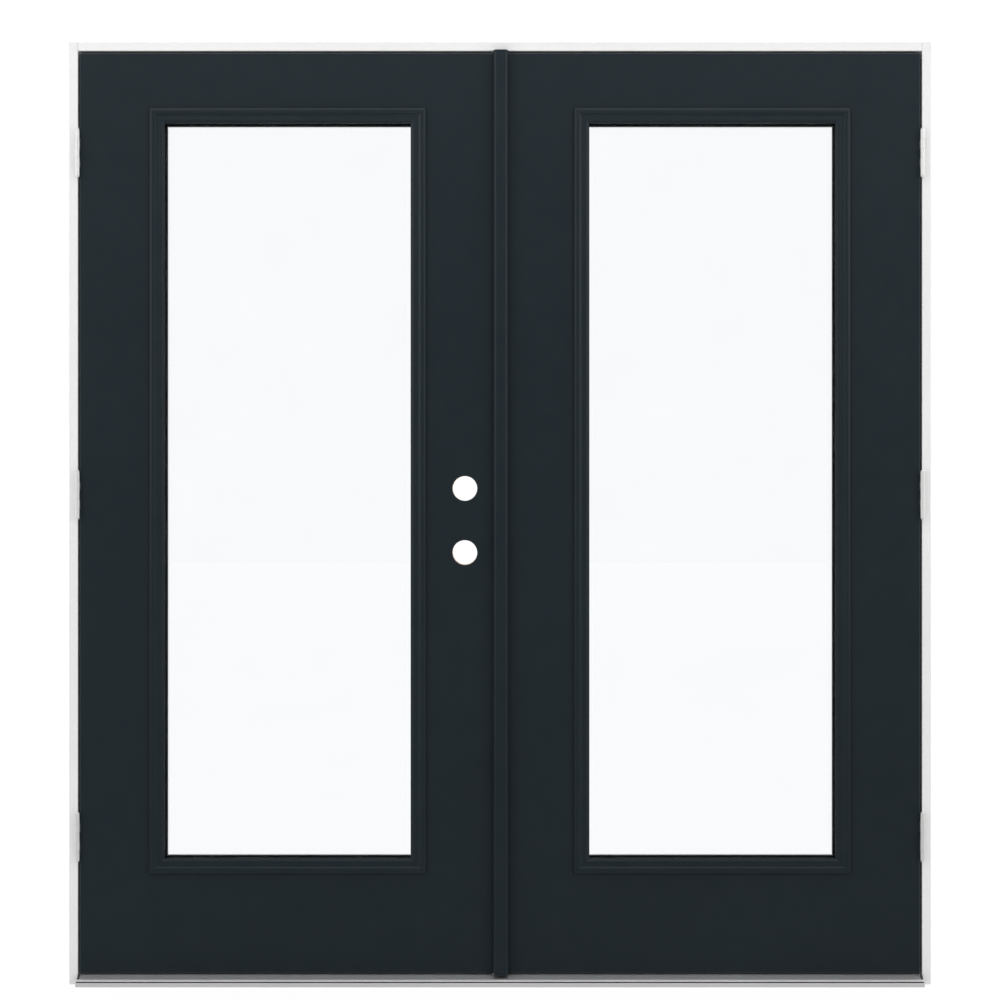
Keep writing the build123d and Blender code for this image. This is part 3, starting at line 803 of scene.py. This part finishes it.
def build_lites():
    outer = mitred_ring("passive_outer_moulding", moulding_section(), lite_low, lite_high)
    seal = mitred_ring("passive_outer_seal", seal_section(), lite_low, lite_high)
    inner = mirrored(outer, "passive_inner_moulding", "Y")
    inner_seal = mirrored(seal, "passive_inner_seal", "Y")
    plugs = screw_plugs("passive_screw_plugs", lite_low, lite_high)
    sets = [
        (outer, "outer_moulding", "slate_moulding", None, "outer_lite_frame"),
        (seal, "outer_seal", "dark_vinyl", "glazing_painted_shade", None),
        (inner, "inner_moulding", "slate_moulding", None, "inner_lite_frame"),
        (inner_seal, "inner_seal", "dark_vinyl", "glazing_painted_shade", None),
        (plugs, "screw_plugs", "slate_moulding", None, None),
    ]
    for piece, name, slot, finish, node in sets:
        twin = mirrored(piece, f"active_{name}")
        for own, side in ((piece, "passive"), (twin, "active")):
            nodes = [f"{side}_{node}"] if node else []
            place_piece(own, f"{side}_leaf", slot, *nodes, finish=finish)


# Hinges

def crossed_screw(name):
    """A flat-head screw with a cross recess; its head's face is at the origin and looks to -x."""
    outline = [
        (0, 0, 0), (0, 0, screw_head), (screw_head_height, 0, screw_shank),
        (screw_length, 0, screw_shank), (screw_length, 0, 0),
    ]
    piece = draw_line(name, outline)
    bpy.ops.mesh.select_all(action="SELECT")
    bpy.ops.mesh.spin(steps=screw_sides, angle=2 * pi, center=(0, 0, 0), axis=(1, 0, 0))
    bpy.ops.object.mode_set(mode="OBJECT")
    face_outwards(piece)
    ease_edges(piece, screw_ease)
    long, thin = cross_half
    cross = box_piece("cross", (-cross_depth, -long, -thin), (cross_depth, long, thin))
    other = box_piece("cross_other", (-cross_depth, -thin, -long), (cross_depth, thin, long))
    cut(cross, other, "UNION")
    with editing(cross) as mesh:
        pick(mesh.faces, lambda f: f.normal.x > 0.9)
        bpy.ops.transform.resize(value=(1, cross_taper, cross_taper))
    return cut(piece, cross)


def hinge_half(name, plate_x, own, height, joggle):
    """Plate, leaning necks and turned knuckles of one half, centred on z = 0."""
    left, right = plate_x
    high_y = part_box("right_frame_hinge_leaf_top")[1].y
    plate_y = face_y + plate_set_in
    plate = box_piece("plate", (left, plate_y, -height / 2), (right, high_y, height / 2))
    knuckle_back = axis_y + knuckle_radius * neck_back
    neck_x = axis_x - plate_thickness / 2 + (joggle or knuckle_radius * neck_lean)
    neck_outline = [(left, plate_y + neck_lap), (left, plate_y)]
    neck_outline += [(left - joggle, face_y), (neck_x, knuckle_back)]
    neck_outline += [(neck_x + plate_thickness, knuckle_back), (right - joggle, face_y)]
    neck_outline += [(right, plate_y), (right, plate_y + neck_lap)]
    parts = [ease_edges(plate, plate_ease)]
    step = height / knuckle_count
    for index in range(own, knuckle_count, 2):
        low = -height / 2 + index * step
        high = -height / 2 + (index + 1) * step
        if index > 0:
            low += knuckle_gap / 2
        if index < knuckle_count - 1:
            high -= knuckle_gap / 2
        barrel = bar_z("barrel", axis_x, axis_y, low, high, knuckle_radius)
        bore_radius = pin_radius + pin_play
        bore_low, bore_high = low - cut_margin, high + cut_margin
        cut(barrel, bar_z("hole", axis_x, axis_y, bore_low, bore_high, bore_radius, pin_sides))
        parts.append(ease_edges(barrel, knuckle_ease, angle=50))
        neck = extruded("neck", [(x, y, low) for x, y in neck_outline], (0, 0, high - low))
        parts.append(ease_edges(neck, plate_ease / 2, segments=1))
    return join(parts, name)


def hinge_pin_piece(name, height):
    """Turned pin with a button tip at each end, centred on z = 0."""
    shaft = bar_z("shaft", axis_x, axis_y, -height / 2, height / 2, pin_radius, pin_sides)
    tips = []
    for end in (1, -1):
        low, high = sorted((end * height / 2, end * (height / 2 + tip_height)))
        tip = bar_z("tip", axis_x, axis_y, low, high, tip_radius, tip_sides)
        tips.append(ease_edges(tip, tip_ease, segments=4, angle=60))
    return join([shaft] + tips, name)


def build_hinges():
    low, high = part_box("right_frame_hinge_leaf_top")
    height = high.z - low.z
    frame_plate_x = (rabbet_x, rabbet_x + plate_thickness)
    leaf_plate_x = (leaf_edge - plate_thickness, leaf_edge)
    frame_half = hinge_half("frame_half", frame_plate_x, 0, height, 0)
    leaf_half = hinge_half("leaf_half", leaf_plate_x, 1, height, leaf_joggle)
    halves = (
        (frame_half, "right_frame_hinge_leaf", "frame"),
        (leaf_half, "passive_hinge_leaf", "passive_leaf"),
    )
    pin = hinge_pin_piece("pin", height)
    screw = crossed_screw("screw")
    back_screw = copy_at(screw, "back_screw", turn=Matrix.Rotation(pi, 4, "Z"))
    frame_screws, leaf_screws, pins = [], [], []
    for level in hinge_levels:
        low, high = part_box(f"right_frame_hinge_leaf_{level}")
        z = (low.z + high.z) / 2
        for half, node, body in halves:
            piece = copy_at(half, f"{node}_{level}_turned", (0, 0, z))
            other = node.replace("right", "left").replace("passive", "active")
            twin = mirrored(piece, f"{other}_{level}_turned")
            place_piece(piece, body, "satin_nickel", f"{node}_{level}")
            place_piece(twin, body.replace("passive", "active"), "satin_nickel", f"{other}_{level}")
        pins.append(copy_at(pin, f"pin_{level}", (0, 0, z)))
        for index, row in enumerate(screw_rows):
            y = face_y + screw_columns[index % 2]
            frame_place = (rabbet_x + screw_offset, y, z + row)
            leaf_place = (leaf_edge - screw_offset, y, z + row)
            frame_screws.append(copy_at(screw, "frame_screw", frame_place))
            leaf_screws.append(copy_at(back_screw, "leaf_screw", leaf_place))
    for part in (frame_half, leaf_half, pin, screw, back_screw):
        bpy.data.objects.remove(part)
    right_pins = join(pins, "right_hinge_pins_turned")
    left_pins = mirrored(right_pins, "left_hinge_pins_turned")
    place_piece(right_pins, "frame", "satin_nickel", "right_hinge_pins")
    place_piece(left_pins, "frame", "satin_nickel", "left_hinge_pins")
    right_screws = join(frame_screws, "right_frame_screws")
    left_screws = mirrored(right_screws, "left_frame_screws")
    both_screws = join([right_screws, left_screws], "frame_hinge_screws_crossed")
    place_piece(both_screws, "frame", "screw_steel", "frame_hinge_screws")
    passive_screws = join(leaf_screws, "passive_hinge_screws_crossed")
    active_screws = mirrored(passive_screws, "active_hinge_screws_crossed")
    place_piece(passive_screws, "passive_leaf", "screw_steel", "passive_hinge_screws")
    place_piece(active_screws, "active_leaf", "screw_steel", "active_hinge_screws")


# Skins: moulded sheets whose rolled edges are painted lighter as a highlight

def build_skin(node, covers_hinges):
    """The sheet with eased edges painted lighter as a highlight; outside, it runs on over the hinges'
    plates.
    """
    skin = eased_copy(node, 0)
    low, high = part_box(node)
    side = -1 if low.x < 0 else 1
    for level in hinge_levels if covers_hinges else ():
        plate_low, plate_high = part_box(f"right_frame_hinge_leaf_{level}")
        inner, outer = leaf_edge - plate_thickness - plate_lap, leaf_edge - skin_roll
        left, right = sorted((side * inner, side * outer))
        cover_low = (left, low.y, plate_low.z - plate_lap)
        cover_high = (right, high.y, plate_high.z + plate_lap)
        cut(skin, box_piece("cover", cover_low, cover_high), "UNION")
    ease_edges(skin, skin_ease)
    place_piece(skin, body_of_node[node], slot_of_node[node], node)
    # The eased rim faces get the lighter slate: a painted highlight along the leaves' edges
    second_finish(skin, "slate_painted_highlight", lambda face: highlight_rim_slopes[0] < abs(face.normal.y) < highlight_rim_slopes[1])


# Astragal: the node's bored post behind a finely rounded nose

def build_astragal():
    post = eased_copy("astragal", 0)
    low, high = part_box("astragal")
    with editing(post):
        bpy.ops.mesh.select_all(action="SELECT")
        bpy.ops.mesh.bisect(plane_co=(0, face_y, 0), plane_no=(0, 1, 0), use_fill=True, clear_inner=True)
    left, right, front = nose_middle - nose_half, nose_middle + nose_half, face_y - nose_out
    outline = [(left, face_y), (right, face_y), (right, front + nose_round)]
    outline += quarter(outline[-1], (right - nose_round, front), nose_steps, late=True)
    outline += [(left + nose_round, front)]
    outline += quarter(outline[-1], (left, front + nose_round), nose_steps, late=False)
    nose = extruded("nose", [(x, y, low.z) for x, y in outline], (0, 0, high.z - low.z))
    ease_edges(nose, nose_rim, segments=3, angle=60)
    piece = join([nose, post], "astragal_with_nose")
    place_piece(piece, "passive_leaf", "slate_moulding", "astragal")


def build_astragal_seal():
    """Soft bulb, with a thin cover before it, that closes the gap to the active leaf's edge."""
    low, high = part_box("astragal_seal")
    root_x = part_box("astragal")[0].x + seal_root
    depth = (high.y - low.y) / 2
    middle = low.y + depth
    outline = [(root_x, middle - kerf_half), (root_x, middle + kerf_half)]
    for index in range(seal_steps + 1):
        angle = pi * index / seal_steps
        outline.append((root_x - seal_root - seal_reach * sin(angle), middle + depth * cos(angle)))
    bulb = extruded("bulb", [(x, y, low.z) for x, y in outline], (0, 0, high.z - low.z))
    cover_y = face_y + cover_set
    cover = box_piece("cover", (root_x - seal_root - cover_reach, cover_y, low.z),
                      (root_x, cover_y + cover_thickness, high.z))
    ease_edges(cover, seal_root)
    seal = join([bulb, cover], "astragal_bulb_seal")
    place_piece(seal, "passive_leaf", "dark_vinyl", "astragal_seal", finish="slate_vinyl")


# Sill deck: one extrusion, grooved for grip under the leaves

def deck_outline():
    nose_y, back_y, level_z = deck_low.y, deck_high.y, deck_high.z
    slope_y, slope_z = nose_y + lip_depth, lip_height - lip_step
    level_y = face_y + slope_end
    behind_groove = nose_y + line_groove_depth + groove_wall
    under_groove = line_groove[0] - groove_wall
    points = [(nose_y, 0), (nose_y, line_groove[0]), (nose_y + line_groove_depth, line_groove[0])]
    points += [(nose_y + line_groove_depth, line_groove[1]), (nose_y, line_groove[1])]
    points += [(nose_y, lip_height - lip_round)]
    points += quarter(points[-1], (nose_y + lip_round, lip_height), lip_steps, late=True)
    points += [(slope_y, lip_height), (slope_y, slope_z), (level_y, level_z)]
    for index in range(treads):
        near = level_y + tread_start + index * tread_pitch
        far = near + tread_width
        points += [(near, level_z), (near, level_z - tread_depth)]
        points += [(far, level_z - tread_depth), (far, level_z)]
    points += [(back_y, level_z), (back_y, level_z - deck_wall), (level_y, level_z - deck_wall)]
    points += [(slope_y, slope_z - deck_wall), (behind_groove, slope_z - deck_wall)]
    points += [(behind_groove, under_groove), (nose_y + deck_wall, under_groove)]
    points += [(nose_y + deck_wall, 0)]
    return points


def build_deck():
    outline = [(deck_low.x, y, z) for y, z in deck_outline()]
    deck = extruded("sill_deck_grooved", outline, (deck_high.x - deck_low.x, 0, 0))
    bolt_low, bolt_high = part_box("bottom_bolt")
    bolt_y = (bolt_low.y + bolt_high.y) / 2
    way_top = deck_high.z + cut_margin
    cut(deck, bar_z("way", bolt_way_x, bolt_y, deck_wall, way_top, bolt_way_radius))
    ease_edges(deck, deck_ease, segments=1, angle=60)
    place_piece(deck, "frame", "mill_aluminium", "sill_deck")
    # The slope's up-facing faces before the leaves get the darker aluminium: painted shade from the
    # leaves
    lip_y = deck_low.y + lip_depth - lip_step / 2
    second_finish(deck, "deck_slope_painted_shade", lambda face: (
        lip_y < face.center.y < face_y + slope_end and face.normal.z > upward
    ))
    # The groove's inner faces get the dark vinyl finish: painted shade in the recess
    groove_low, groove_high = line_groove[0] - groove_margin, line_groove[1] + groove_margin
    groove_front = deck_low.y + groove_mouth
    groove_back = deck_low.y + line_groove_depth + groove_margin
    second_finish(deck, "dark_vinyl", lambda face: (
        groove_low < face.center.z < groove_high and groove_front < face.center.y < groove_back
    ))


def build_corner_pads():
    """Soft pads on the deck's slope that close the corners under the leaves' hinge edges."""
    front_y, back_y = deck_low.y + lip_depth + pad_set, face_y
    slope_z = lip_height - lip_step
    outline = [(front_y, slope_z), (back_y, slope_z), (back_y, deck_high.z + pad_back_height)]
    outline += [(front_y, slope_z + pad_front_height)]
    x = deck_high.x - pad_gap - pad_width
    pad = extruded("right_corner_pad", [(x, y, z) for y, z in outline], (pad_width, 0, 0))
    ease_edges(pad, pad_ease)
    twin = mirrored(pad, "left_corner_pad")
    for piece in (pad, twin):
        place_piece(piece, "frame", "weatherstrip_foam")


def build_corner_joints():
    """Filler in the joints where the head meets the jambs."""
    head_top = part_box("head_jamb")[1].z
    low = (rabbet_x - joint_width / 2, face_y + joint_set, head_top - joint_height)
    high = (rabbet_x + joint_width / 2, face_y + joint_depth, head_top - joint_set)
    strip = box_piece("right_corner_joint", low, high)
    ease_edges(strip, joint_ease, segments=1)
    twin = mirrored(strip, "left_corner_joint")
    for piece in (strip, twin):
        place_piece(piece, "frame", "sill_stop_grey")


def build_strike():
    plate = eased_copy("head_strike_plate", strike_ease)
    low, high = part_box("head_strike_plate")
    screw = crossed_screw("strike_screw")
    screw.data.transform(Matrix.Rotation(-pi / 2, 4, "Y"))
    y, z = (low.y + high.y) / 2, low.z - screw_offset
    ends = (low.x + strike_screw_inset, high.x - strike_screw_inset)
    screws = [copy_at(screw, "strike_screw_copy", (x, y, z)) for x in ends]
    bpy.data.objects.remove(screw)
    place_piece(plate, "frame", "satin_nickel", "head_strike_plate")
    place_piece(join(screws, "strike_screws"), "frame", "screw_steel")


# Stage, light and camera

def build_stage():
    fresh()
    bpy.ops.mesh.primitive_plane_add(size=floor_size)
    floor = named("studio_floor")
    material, tree, shader, place = new_finish("pale_floor")
    cloud = noise(tree, place, 0.8, 2.0)
    tone = blend_colours(tree, ranged(tree, cloud, 0, 1), (0.05, 0.05, 0.05), (0.06, 0.06, 0.06))
    tree.links.new(tone, shader.inputs["Base Color"])
    shader.inputs["Emission Color"].default_value = (1, 1, 1, 1)
    shader.inputs["Emission Strength"].default_value = floor_glow
    shader.inputs["Roughness"].default_value = 0.9
    floor.data.materials.append(material)
    floor.visible_glossy = False


def soft_lamp(name, place, aim, size, power):
    fresh()
    bpy.ops.object.light_add(type="AREA", location=place)
    lamp = named(name)
    lamp.rotation_euler = (Vector(aim) - Vector(place)).to_track_quat("-Z", "Y").to_euler()
    lamp.data.shape = "RECTANGLE"
    lamp.data.size, lamp.data.size_y = size
    lamp.data.energy = power


def build_light():
    """A bright backdrop seen directly or through glass, a dimmer surround, and the lamps."""
    world = bpy.data.worlds.new("studio_surround")
    bpy.context.scene.world = world
    world.use_nodes = True
    tree = world.node_tree
    background = tree.nodes["Background"]
    place = tree.nodes.new("ShaderNodeTexCoord")
    split = add_node(tree, "ShaderNodeSeparateXYZ", links={"Vector": place.outputs["Generated"]})
    behind = ranged(tree, split.outputs["Y"], 0.1, 1.0, from_low=-0.8, from_high=0.2)
    above = ranged(tree, split.outputs["Z"], 0.6, 1.1, from_low=-0.3, from_high=0.6)
    surround = math_node(tree, "MULTIPLY", behind, above)
    path = tree.nodes.new("ShaderNodeLightPath")
    camera_ray, glass_ray = path.outputs["Is Camera Ray"], path.outputs["Is Transmission Ray"]
    seen = math_node(tree, "MAXIMUM", camera_ray, glass_ray)
    backdrop = math_node(tree, "MULTIPLY", seen, backdrop_strength)
    tree.links.new(math_node(tree, "MAXIMUM", backdrop, surround), background.inputs["Strength"])
    background.inputs["Color"].default_value = (1, 1, 1, 1)
    for lamp in lamps:
        soft_lamp(*lamp)


def build_camera():
    fresh()
    bpy.ops.object.camera_add(location=camera_place, rotation=(radians(90), 0, 0))
    camera = named("front_camera")
    camera.data.lens = camera_lens
    camera.data.sensor_width = sensor_width
    bpy.context.scene.camera = camera
    bpy.context.scene.view_settings.view_transform = "Standard"


build_camera()
build_light()
build_stage()
dress_nodes()
build_lites()
build_hinges()
build_astragal()
build_astragal_seal()
build_deck()
build_corner_pads()
build_corner_joints()
build_strike()

for node in ("left_jamb", "right_jamb", "head_jamb"):
    stand_in(node, jamb_ease)
for node in ("sill_stop", "sill_base"):
    stand_in(node, sill_ease)
for node in ("left_weatherstrip", "right_weatherstrip", "head_weatherstrip", "sill_weatherstrip"):
    stand_in(node, 0)
for side in ("active", "passive"):
    build_skin(f"{side}_exterior_skin", covers_hinges=True)
    build_skin(f"{side}_interior_skin", covers_hinges=False)
for node in ("top_bolt", "bottom_bolt"):
    stand_in(node, bolt_ease)
